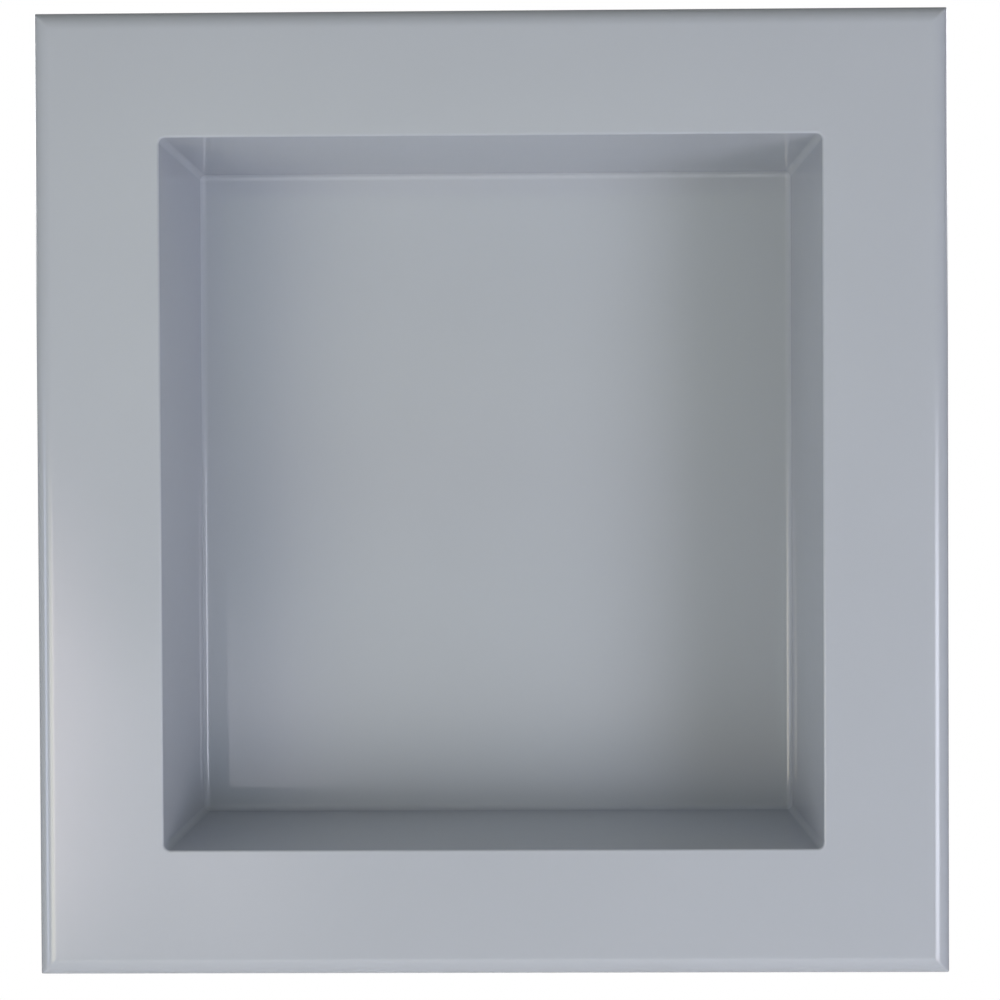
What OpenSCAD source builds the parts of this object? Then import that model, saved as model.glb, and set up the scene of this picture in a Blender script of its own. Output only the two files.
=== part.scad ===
// A recessed shelf for a shower or bath wall: a drafted open box with a broad flat flange round
// its mouth, moulded in one piece of gloss plastic with the same wall all through.
// The flange's back rim seats on the finished wall, and the box goes through a cut-out between
// two studs.
// +X is to the right, +Z is up and +Y runs into the wall. The origin is on the wall's surface,
// at the middle of the cut-out.

/* [Recess] */
// Clear width of the mouth, between the side walls
mouth_w = 305; // [150:1:340]
// Clear height of the mouth, between the bottom wall, which is the shelf, and the top wall
mouth_h = 329; // [150:1:900]
// Depth from the flange's face to the back panel
recess_depth = 90; // [60:1:120]
// Draft of each of the four walls, in degrees; it also lets the shelf drain
draft = 2; // [0.5:0.25:5]
// Radius of the corners between the walls, at the mouth
corner_r = 3; // [2:0.5:20]
// Radius of the fillet between the walls and the back panel
back_r = 3; // [2:0.5:20]
// Radius of the roll where the walls turn out into the flange
mouth_r = 1; // [0.5:0.25:3.5]

/* [Flange] */
// Width of the flange's border, from the mouth to the outer edge
border = 59; // [30:0.5:90]
// How far the flange's face stands off the wall
standoff = 12; // [9:0.5:25]
// Radius that the flange's outer edge is rounded over with
edge_r = 9; // [6:0.5:20]

/* [Moulding] */
// Thickness of the plastic
wall = 4; // [3:0.25:5]
// Radius of the fillet behind the flange, where the box's walls stand up from it
root_r = 2; // [1:0.25:4]

/* [Hidden] */
// Faces to a full circle on all rounds but the box's blended corners
$fn = 96;
// Faces to a full circle on those corners
blend_faces = 32;
// How far a cutting shape runs past the surface that it opens
past = 1;
flange_w = mouth_w + 2 * border;
flange_h = mouth_h + 2 * border;
// Least height of the straight edge that is left between the rounding and the wall
least_edge = 1;
over_r = min(edge_r, standoff - least_edge);
// Level at which the roll ends and the drafted walls start
roll_z = standoff - mouth_r;
// What the draft takes off each side of the recess between that level and the back panel
back_inset = (recess_depth - mouth_r) * tan(draft);

// Puts its child at the four corners of a rectangle, drawn in by r
module at_corners(w, h, r) {
    for (x = [-1, 1], y = [-1, 1])
        translate([x * (w / 2 - r), y * (h / 2 - r), 0])
            children();
}

// Half a ball, round side down, with its widest ring at z = 0
module foot_round(r) {
    rotate_extrude()
        intersection() {
            circle(r);
            translate([0, -r])
                square(r);
        }
}

// The drafted box from the roll down to the back panel, grown by g on every side but the mouth,
// with a straight neck that rises from the roll's lower edge towards the room
module drafted_box(g, neck) {
    hull($fn = blend_faces) {
        translate([0, 0, roll_z])
            at_corners(mouth_w + 2 * g, mouth_h + 2 * g, corner_r + g)
                cylinder(r = corner_r + g, h = neck);
        translate([0, 0, standoff - recess_depth + back_r])
            at_corners(mouth_w - 2 * back_inset + 2 * g, mouth_h - 2 * back_inset + 2 * g, back_r + g)
                foot_round(back_r + g);
    }
}

// Carries a section round a rectangle w by h whose corners have the radius r.
// The section's x points out from the middle of the rectangle, and its y towards the room.
module carried_round(w, h, r) {
    for (side = [0 : 3]) {
        reach = (side % 2 == 0 ? w : h) / 2;
        run = (side % 2 == 0 ? h : w) - 2 * r;
        rotate([0, 0, 90 * side]) {
            translate([reach, run / 2, 0])
                rotate([90, 0, 0])
                    linear_extrude(run)
                        children();
            translate([reach - r, run / 2, 0])
                rotate_extrude(angle = 90)
                    translate([r, 0])
                        children();
        }
    }
}

// What the mouth's roll leaves open between the walls and the flange's face
module mouth_opening() {
    translate([0, 0, standoff])
        carried_round(mouth_w, mouth_h, corner_r)
            difference() {
                translate([-past, -mouth_r])
                    square([mouth_r + past, mouth_r + past]);
                translate([mouth_r, -mouth_r])
                    circle(mouth_r);
            }
}

// A bar's section, w wide and t high, with both upper edges rounded over
module rounded_bar(w, t, r) {
    translate([-w / 2, 0])
        square([w, t - r]);
    translate([r - w / 2, 0])
        square([w - 2 * r, t]);
    for (flip = [0, 1])
        mirror([flip, 0])
            translate([w / 2 - r, t - r])
                intersection() {
                    circle(r);
                    square(r);
                }
}

// A flat block whose rounded upper edges meet in mitres at its four corners
module mitred_block(w, h, t, r) {
    intersection() {
        translate([0, h / 2, 0])
            rotate([90, 0, 0])
                linear_extrude(h)
                    rounded_bar(w, t, r);
        translate([-w / 2, 0, 0])
            rotate([90, 0, 90])
                linear_extrude(w)
                    rounded_bar(h, t, r);
    }
}

// The flange: a flat tray that is open towards the wall
module flange() {
    difference() {
        mitred_block(flange_w, flange_h, standoff, over_r);
        translate([0, 0, -past])
            mitred_block(flange_w - 2 * wall, flange_h - 2 * wall, standoff - wall + past, over_r - wall);
    }
}

// The fillet behind the flange, in the corner that it makes with the box
module root_fillet() {
    translate([0, 0, standoff - wall])
        carried_round(mouth_w + 2 * wall, mouth_h + 2 * wall, corner_r + wall)
            difference() {
                translate([-wall / 2, -root_r])
                    square([root_r + wall / 2, root_r + wall / 2]);
                translate([root_r, -root_r])
                    circle(root_r);
            }
}

module recessed_shelf() {
    color([0.68, 0.69, 0.73])
        rotate([90, 0, 0])
            difference() {
                union() {
                    flange();
                    drafted_box(wall, mouth_r / 2);
                    root_fillet();
                }
                drafted_box(0, mouth_r + past);
                mouth_opening();
            }
}

recessed_shelf();
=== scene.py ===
import math

import bpy
from mathutils import Matrix, Vector


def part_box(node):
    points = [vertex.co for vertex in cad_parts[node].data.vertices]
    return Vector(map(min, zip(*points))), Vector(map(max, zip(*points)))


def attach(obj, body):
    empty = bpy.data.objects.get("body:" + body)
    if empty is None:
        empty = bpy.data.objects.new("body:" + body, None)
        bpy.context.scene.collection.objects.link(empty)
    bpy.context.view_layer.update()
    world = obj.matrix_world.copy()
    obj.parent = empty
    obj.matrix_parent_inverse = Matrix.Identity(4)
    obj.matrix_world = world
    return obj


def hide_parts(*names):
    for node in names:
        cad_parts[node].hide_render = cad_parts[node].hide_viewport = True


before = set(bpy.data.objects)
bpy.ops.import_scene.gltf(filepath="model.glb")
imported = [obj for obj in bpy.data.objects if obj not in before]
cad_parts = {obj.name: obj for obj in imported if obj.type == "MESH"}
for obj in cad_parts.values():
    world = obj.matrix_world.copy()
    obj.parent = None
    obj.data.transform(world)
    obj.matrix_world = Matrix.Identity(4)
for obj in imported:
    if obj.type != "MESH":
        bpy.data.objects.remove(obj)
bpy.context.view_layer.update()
low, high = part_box("recessed_shelf")

# The camera: level with the middle of the shelf and square on to it, a little to the right,
# with the slight turns that the photograph shows in the slopes of the flange's edges.
camera_data = bpy.data.cameras.new("camera")
camera_data.sensor_width = 36
camera_data.lens = 67.14
camera_data.shift_x = -0.0242
camera_data.shift_y = 0.0068
camera = bpy.data.objects.new("camera", camera_data)
camera_place = Vector((0.0246, -0.8703, 0.0048))
camera_yaw, camera_pitch, camera_roll = 0.637, -0.737, 0.273
camera.matrix_world = (
    Matrix.Translation(camera_place)
    @ Matrix.Rotation(math.radians(camera_yaw), 4, "Z")
    @ Matrix.Rotation(math.radians(camera_pitch), 4, "X")
    @ Matrix.Rotation(math.radians(camera_roll), 4, "Y")
    @ Matrix.Rotation(math.radians(90), 4, "X")
)
bpy.context.scene.collection.objects.link(camera)
bpy.context.scene.camera = camera

# The moulding: one shell of gloss plastic with the same wall all through, injection moulded in
# a two-part tool. The box is drafted so that it leaves the tool, and every edge that the hand
# or water meets is rounded. It goes through a cut-out and is stuck down by the flange's back rim.
border = 0.059
wall = 0.004
edge_radius = 0.009
mouth_roll = 0.001
corner_radius = 0.003
back_fillet = 0.003
root_fillet = 0.002
rim_softening = 0.0004
mitre_softening = 0.0008
draft = math.radians(2)
mouth_half_w = high.x - border
mouth_half_h = high.z - border
face_y = low.y
back_y = high.y
corner_steps = 8


def ring(reach, y, radius):
    """The corners and arcs of one closed line round the box, reach outside the mouth's edge."""
    half_w = mouth_half_w + reach
    half_h = mouth_half_h + reach
    points = []
    for turn in range(4):
        centre_x = (half_w - radius) * (1 if turn in (0, 3) else -1)
        centre_z = (half_h - radius) * (1 if turn in (0, 1) else -1)
        for step in range(corner_steps + 1):
            angle = math.radians(90) * (turn + step / corner_steps)
            points.append((centre_x + radius * math.cos(angle), y, centre_z + radius * math.sin(angle)))
    return points


def arc(centre_reach, centre_y, radius, start, end, steps):
    """Points of a quarter round in the section, as reach and depth; 0 degrees looks outwards."""
    for step in range(steps + 1):
        angle = math.radians(start + (end - start) * step / steps)
        yield centre_reach + radius * math.cos(angle), centre_y - radius * math.sin(angle)


def box_reach(y, grown):
    """How far the drafted wall stands outside the mouth's edge at a depth, grown by a thickness."""
    return grown - (y - face_y - mouth_roll) * math.tan(draft)


def room_side():
    """The section seen from the room, from the flange's rim inwards to the back panel."""
    for reach, y in arc(border - rim_softening, -rim_softening, rim_softening, -90, 0, 4):
        yield reach, y, rim_softening
    for reach, y in arc(border - edge_radius, face_y + edge_radius, edge_radius, 0, 90, 24):
        yield reach, y, mitre_softening
    yield border - edge_radius - 0.001, face_y, mitre_softening
    yield mouth_roll + 0.001, face_y, corner_radius + mouth_roll + 0.001
    for reach, y in arc(mouth_roll, face_y + mouth_roll, mouth_roll, 90, 180, 12):
        yield reach, y, corner_radius + reach
    panel_y = back_y - wall
    fillet_y = panel_y - back_fillet
    foot = box_reach(fillet_y, 0)
    for share in (0.01, 0.5, 0.99):
        y = face_y + mouth_roll + share * (fillet_y - face_y - mouth_roll)
        yield box_reach(y, 0), y, corner_radius + share * (back_fillet - corner_radius)
    for reach, y in arc(foot - back_fillet, fillet_y, back_fillet, 0, -90, 12):
        yield reach, y, max(back_fillet - foot + reach, 0.0001)
    yield foot - back_fillet - 0.001, panel_y, 0.0001


def wall_side():
    """The section seen from inside the wall, from the flange's rim inwards to the box's back."""
    inner_edge = edge_radius - wall
    flange_back = face_y + wall
    for reach, y in arc(border - wall + rim_softening, -rim_softening, rim_softening, -90, -180, 4):
        yield reach, y, rim_softening
    for reach, y in arc(border - wall - inner_edge, flange_back + inner_edge, inner_edge, 0, 90, 12):
        yield reach, y, mitre_softening
    root_reach = wall + root_fillet
    root_y = flange_back + root_fillet
    yield root_reach + 0.001, flange_back, corner_radius + root_reach + 0.001
    for reach, y in arc(root_reach, root_y, root_fillet, 90, 180, 8):
        yield reach - (root_y - face_y - mouth_roll) * math.tan(draft) * (root_reach - reach) / root_fillet, y, corner_radius + reach
    foot_radius = back_fillet + wall
    foot_y = back_y - foot_radius
    foot = box_reach(foot_y, wall)
    for share in (0.01, 0.5, 0.99):
        y = root_y + share * (foot_y - root_y)
        yield box_reach(y, wall), y, corner_radius + wall + share * (back_fillet - corner_radius)
    for reach, y in arc(foot - foot_radius, foot_y, foot_radius, 0, -90, 16):
        yield reach, y, max(foot_radius - foot + reach, 0.0001)
    yield foot - foot_radius - 0.001, back_y, 0.0001


def shell_mesh(name):
    """Joins the rings of both sides into one closed shell."""
    front = [ring(*place) for place in room_side()]
    back = [ring(*place) for place in wall_side()]
    rings = list(reversed(front)) + back
    count = len(rings[0])
    points = [point for line in rings for point in line]
    faces = [list(range(count)), list(range(len(points) - count, len(points)))[::-1]]
    for row in range(len(rings) - 1):
        for column in range(count):
            near, far = row * count, (row + 1) * count
            after = (column + 1) % count
            faces.append([near + column, far + column, far + after, near + after])
    mesh = bpy.data.meshes.new(name)
    mesh.from_pydata(points, [], faces)
    mesh.validate()
    mesh.shade_smooth()
    return mesh


shell = bpy.data.objects.new("shelf_moulding", shell_mesh("shelf_moulding"))
bpy.context.scene.collection.objects.link(shell)
weighting = shell.modifiers.new("flats stay flat", "WEIGHTED_NORMAL")
weighting.weight = 100

moulded = bpy.data.node_groups.new("moulded surface", "ShaderNodeTree")
moulded.interface.new_socket("Cloud", in_out="OUTPUT", socket_type="NodeSocketFloat")
moulded.interface.new_socket("Haze", in_out="OUTPUT", socket_type="NodeSocketFloat")
moulded.interface.new_socket("Normal", in_out="OUTPUT", socket_type="NodeSocketVector")
nodes, links = moulded.nodes, moulded.links
moulded_place = nodes.new("ShaderNodeTexCoord")
moulded_out = nodes.new("NodeGroupOutput")


def noise(scale, detail, roughness):
    """A noise texture on the object's own metres, in the moulded surface's group."""
    texture = nodes.new("ShaderNodeTexNoise")
    texture.inputs["Scale"].default_value = scale
    texture.inputs["Detail"].default_value = detail
    texture.inputs["Roughness"].default_value = roughness
    links.new(moulded_place.outputs["Object"], texture.inputs["Vector"])
    return texture


# Pigment clouds a hand wide, haze of wear and drying water, and three heights: the sink of a
# broad flat, the flow of the melt, and the fine orange peel that the polished tool leaves.
cloud = noise(14, 3, 0.55)
haze = noise(38, 5, 0.6)
sink = noise(7, 1, 0.4)
flow = noise(60, 2, 0.5)
peel = noise(900, 2, 0.5)
links.new(cloud.outputs["Fac"], moulded_out.inputs["Cloud"])
links.new(haze.outputs["Fac"], moulded_out.inputs["Haze"])
last_normal = None
for height, distance in ((sink, 0.0006), (flow, 0.00003), (peel, 0.0000012)):
    bump = nodes.new("ShaderNodeBump")
    bump.inputs["Strength"].default_value = 1
    bump.inputs["Distance"].default_value = distance
    links.new(height.outputs["Fac"], bump.inputs["Height"])
    if last_normal:
        links.new(last_normal, bump.inputs["Normal"])
    last_normal = bump.outputs["Normal"]
links.new(last_normal, moulded_out.inputs["Normal"])

plastic = bpy.data.materials.new("gloss grey plastic")
plastic.use_nodes = True
nodes, links = plastic.node_tree.nodes, plastic.node_tree.links
gloss = nodes["Principled BSDF"]
gloss.inputs["IOR"].default_value = 1.49
surface = nodes.new("ShaderNodeGroup")
surface.node_tree = moulded
tint = nodes.new("ShaderNodeMix")
tint.data_type = "RGBA"
tint.inputs["A"].default_value = (0.405, 0.432, 0.482, 1)
tint.inputs["B"].default_value = (0.421, 0.448, 0.500, 1)
polish = nodes.new("ShaderNodeMapRange")
polish.inputs["From Min"].default_value = 0.3
polish.inputs["From Max"].default_value = 0.7
polish.inputs["To Min"].default_value = 0.03
polish.inputs["To Max"].default_value = 0.055
links.new(surface.outputs["Cloud"], tint.inputs["Factor"])
links.new(surface.outputs["Haze"], polish.inputs["Value"])
links.new(tint.outputs["Result"], gloss.inputs["Base Color"])
links.new(polish.outputs["Result"], gloss.inputs["Roughness"])
links.new(surface.outputs["Normal"], gloss.inputs["Normal"])
shell.data.materials.append(plastic)

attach(shell, "root")
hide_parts("recessed_shelf")

# The floor: smooth white sheet, far enough below the shelf for lamps that stand lower than it.
# It shows the shelf's shadow near by, and fades to the white of the background further out.
floor_half = 6
floor_below = 0.58
fade_start = 0.7
fade_end = 1.9
floor_mesh = bpy.data.meshes.new("floor")
floor_mesh.from_pydata(
    [(x * floor_half, y * floor_half, 0) for x, y in ((-1, -1), (1, -1), (1, 1), (-1, 1))], [], [(0, 1, 2, 3)]
)
floor = bpy.data.objects.new("floor", floor_mesh)
floor.location = (0, 0, low.z - floor_below)
bpy.context.scene.collection.objects.link(floor)

paper = bpy.data.materials.new("white studio floor")
paper.use_nodes = True
nodes, links = paper.node_tree.nodes, paper.node_tree.links
matt = nodes["Principled BSDF"]
matt.inputs["Base Color"].default_value = (0.8, 0.8, 0.8, 1)
matt.inputs["Roughness"].default_value = 0.9
floor_white = nodes.new("ShaderNodeEmission")
floor_place = nodes.new("ShaderNodeTexCoord")
floor_distance = nodes.new("ShaderNodeVectorMath")
floor_distance.operation = "LENGTH"
floor_fade = nodes.new("ShaderNodeMapRange")
floor_fade.interpolation_type = "SMOOTHSTEP"
floor_fade.inputs["From Min"].default_value = fade_start
floor_fade.inputs["From Max"].default_value = fade_end
floor_ray = nodes.new("ShaderNodeLightPath")
floor_seen = nodes.new("ShaderNodeMath")
floor_seen.operation = "MAXIMUM"
floor_share = nodes.new("ShaderNodeMath")
floor_share.operation = "MULTIPLY"
floor_mix = nodes.new("ShaderNodeMixShader")
links.new(floor_place.outputs["Object"], floor_distance.inputs[0])
links.new(floor_distance.outputs["Value"], floor_fade.inputs["Value"])
links.new(floor_ray.outputs["Is Camera Ray"], floor_seen.inputs[0])
links.new(floor_ray.outputs["Is Transmission Ray"], floor_seen.inputs[1])
links.new(floor_fade.outputs["Result"], floor_share.inputs[0])
links.new(floor_seen.outputs["Value"], floor_share.inputs[1])
links.new(floor_share.outputs["Value"], floor_mix.inputs["Fac"])
links.new(matt.outputs["BSDF"], floor_mix.inputs[1])
links.new(floor_white.outputs["Emission"], floor_mix.inputs[2])
links.new(floor_mix.outputs["Shader"], nodes["Material Output"].inputs["Surface"])
floor.data.materials.append(paper)

# The softboxes: fabric-fronted lamps on stands round the shelf. The two large ones stand in
# front to the right and left, a little lower than the shelf, the right one cool and the left
# one warm. The others are weak, and three stand behind, where only the hidden side meets them.
aim_point = Vector((0, 0.02, 0))
fabric_fade = 0.4


def fade_to_edges(data):
    """Dims a lamp's front towards its edges, as the fabric does, and keeps its total light."""
    data.use_nodes = True
    nodes, links = data.node_tree.nodes, data.node_tree.links
    place = nodes.new("ShaderNodeNewGeometry")
    sides = nodes.new("ShaderNodeSeparateXYZ")
    links.new(place.outputs["Parametric"], sides.inputs[0])
    fades = []
    for side in ("X", "Y"):
        for edge, inside in ((0, fabric_fade), (1, 1 - fabric_fade)):
            fade = nodes.new("ShaderNodeMapRange")
            fade.interpolation_type = "SMOOTHSTEP"
            fade.inputs["From Min"].default_value = edge
            fade.inputs["From Max"].default_value = inside
            links.new(sides.outputs[side], fade.inputs["Value"])
            fades.append(fade.outputs["Result"])
    strength = fades[0]
    for fade in fades[1:]:
        both = nodes.new("ShaderNodeMath")
        both.operation = "MULTIPLY"
        links.new(strength, both.inputs[0])
        links.new(fade, both.inputs[1])
        strength = both.outputs["Value"]
    links.new(strength, nodes["Emission"].inputs["Strength"])
    data.energy /= (1 - fabric_fade) ** 2


def softbox(name, azimuth, elevation, distance, size, watts, colour):
    """Stands a lamp at an azimuth from straight ahead, positive to the right, aimed at the shelf."""
    turn, rise = math.radians(azimuth), math.radians(elevation)
    way = Vector((math.sin(turn) * math.cos(rise), -math.cos(turn) * math.cos(rise), math.sin(rise)))
    data = bpy.data.lights.new(name, "AREA")
    data.shape = "RECTANGLE"
    data.size, data.size_y = size
    data.energy = watts
    data.color = colour
    fade_to_edges(data)
    lamp = bpy.data.objects.new(name, data)
    lamp.location = aim_point + way * distance
    lamp.rotation_euler = (-way).to_track_quat("-Z", "Y").to_euler()
    lamp.visible_camera = False
    bpy.context.scene.collection.objects.link(lamp)
    return lamp


softbox("right softbox", 44, -11, 1.7, (1.1, 1.1), 12, (0.85, 0.88, 1.0))
softbox("left softbox", -37, -13, 1.7, (1.1, 1.1), 6.76, (1.0, 0.93, 0.69))
softbox("left inner strip", -26, -10, 1.6, (0.5, 0.8), 1.35, (1.0, 0.84, 0.88))
softbox("left side strip", -70, -10, 1.5, (0.6, 1.0), 2.99, (0.66, 0.74, 1.0))
softbox("front fill", -5, 10, 1.7, (1.6, 0.9), 1.01, (0.84, 1.0, 0.76))
softbox("low front fill", -5, -8, 1.7, (1.1, 0.6), 0.479, (0.77, 1.0, 0.94))
softbox("small warm reflector", -18, -14, 1.5, (0.6, 0.6), 0.425, (1.0, 0.92, 0.99))
softbox("high left fill", -60, 45, 1.5, (1.0, 0.8), 1.46, (0.92, 1.0, 1.0))
softbox("high right fill", 60, 40, 1.5, (1.0, 0.8), 0.678, (1.0, 0.93, 0.43))
softbox("low right fill", 40, -30, 1.6, (0.7, 0.7), 2.59, (1.0, 0.66, 0.52))
softbox("back softbox", 180, 8, 1.7, (0.8, 0.8), 8, (1, 1, 1))
softbox("back left softbox", -140, 22, 1.7, (1.3, 1.0), 5, (1, 1, 1))
softbox("back right softbox", 140, 22, 1.7, (1.3, 1.0), 5, (1, 1, 1))
glow = softbox("glow of the floor", 0, -90, 0.8, (2.8, 1.8), 4.95, (0.91, 0.99, 1.0))
glow.location = (0, -1.2, floor.location.z + 0.02)

# The room: pale grey on every side, and the white backdrop straight behind the shelf. The camera
# sees white all round, and the gloss of the edges shows the backdrop where it stands.
world = bpy.data.worlds.new("studio")
world.use_nodes = True
bpy.context.scene.world = world
nodes, links = world.node_tree.nodes, world.node_tree.links
room = nodes["Background"]
room.inputs["Color"].default_value = (1, 1, 1, 1)
room.inputs["Strength"].default_value = 0.2
backdrop = nodes.new("ShaderNodeBackground")
backdrop.inputs["Color"].default_value = (1, 1, 1, 1)
sky_place = nodes.new("ShaderNodeTexCoord")
sky_axes = nodes.new("ShaderNodeSeparateXYZ")
sky_cone = nodes.new("ShaderNodeMapRange")
sky_cone.interpolation_type = "SMOOTHSTEP"
sky_cone.inputs["From Min"].default_value = math.cos(math.radians(18))
sky_cone.inputs["From Max"].default_value = math.cos(math.radians(12))
sky_ray = nodes.new("ShaderNodeLightPath")
sky_gloss = nodes.new("ShaderNodeMath")
sky_gloss.operation = "MULTIPLY"
sky_seen = nodes.new("ShaderNodeMath")
sky_seen.operation = "MAXIMUM"
sky_share = nodes.new("ShaderNodeMath")
sky_share.operation = "MAXIMUM"
sky_mix = nodes.new("ShaderNodeMixShader")
links.new(sky_place.outputs["Generated"], sky_axes.inputs[0])
links.new(sky_axes.outputs["Y"], sky_cone.inputs["Value"])
links.new(sky_ray.outputs["Is Glossy Ray"], sky_gloss.inputs[0])
links.new(sky_cone.outputs["Result"], sky_gloss.inputs[1])
links.new(sky_ray.outputs["Is Camera Ray"], sky_seen.inputs[0])
links.new(sky_ray.outputs["Is Transmission Ray"], sky_seen.inputs[1])
links.new(sky_gloss.outputs["Value"], sky_share.inputs[0])
links.new(sky_seen.outputs["Value"], sky_share.inputs[1])
links.new(sky_share.outputs["Value"], sky_mix.inputs["Fac"])
links.new(room.outputs["Background"], sky_mix.inputs[1])
links.new(backdrop.outputs["Background"], sky_mix.inputs[2])
links.new(sky_mix.outputs["Shader"], nodes["World Output"].inputs["Surface"])

bpy.context.scene.view_settings.view_transform = "Standard"
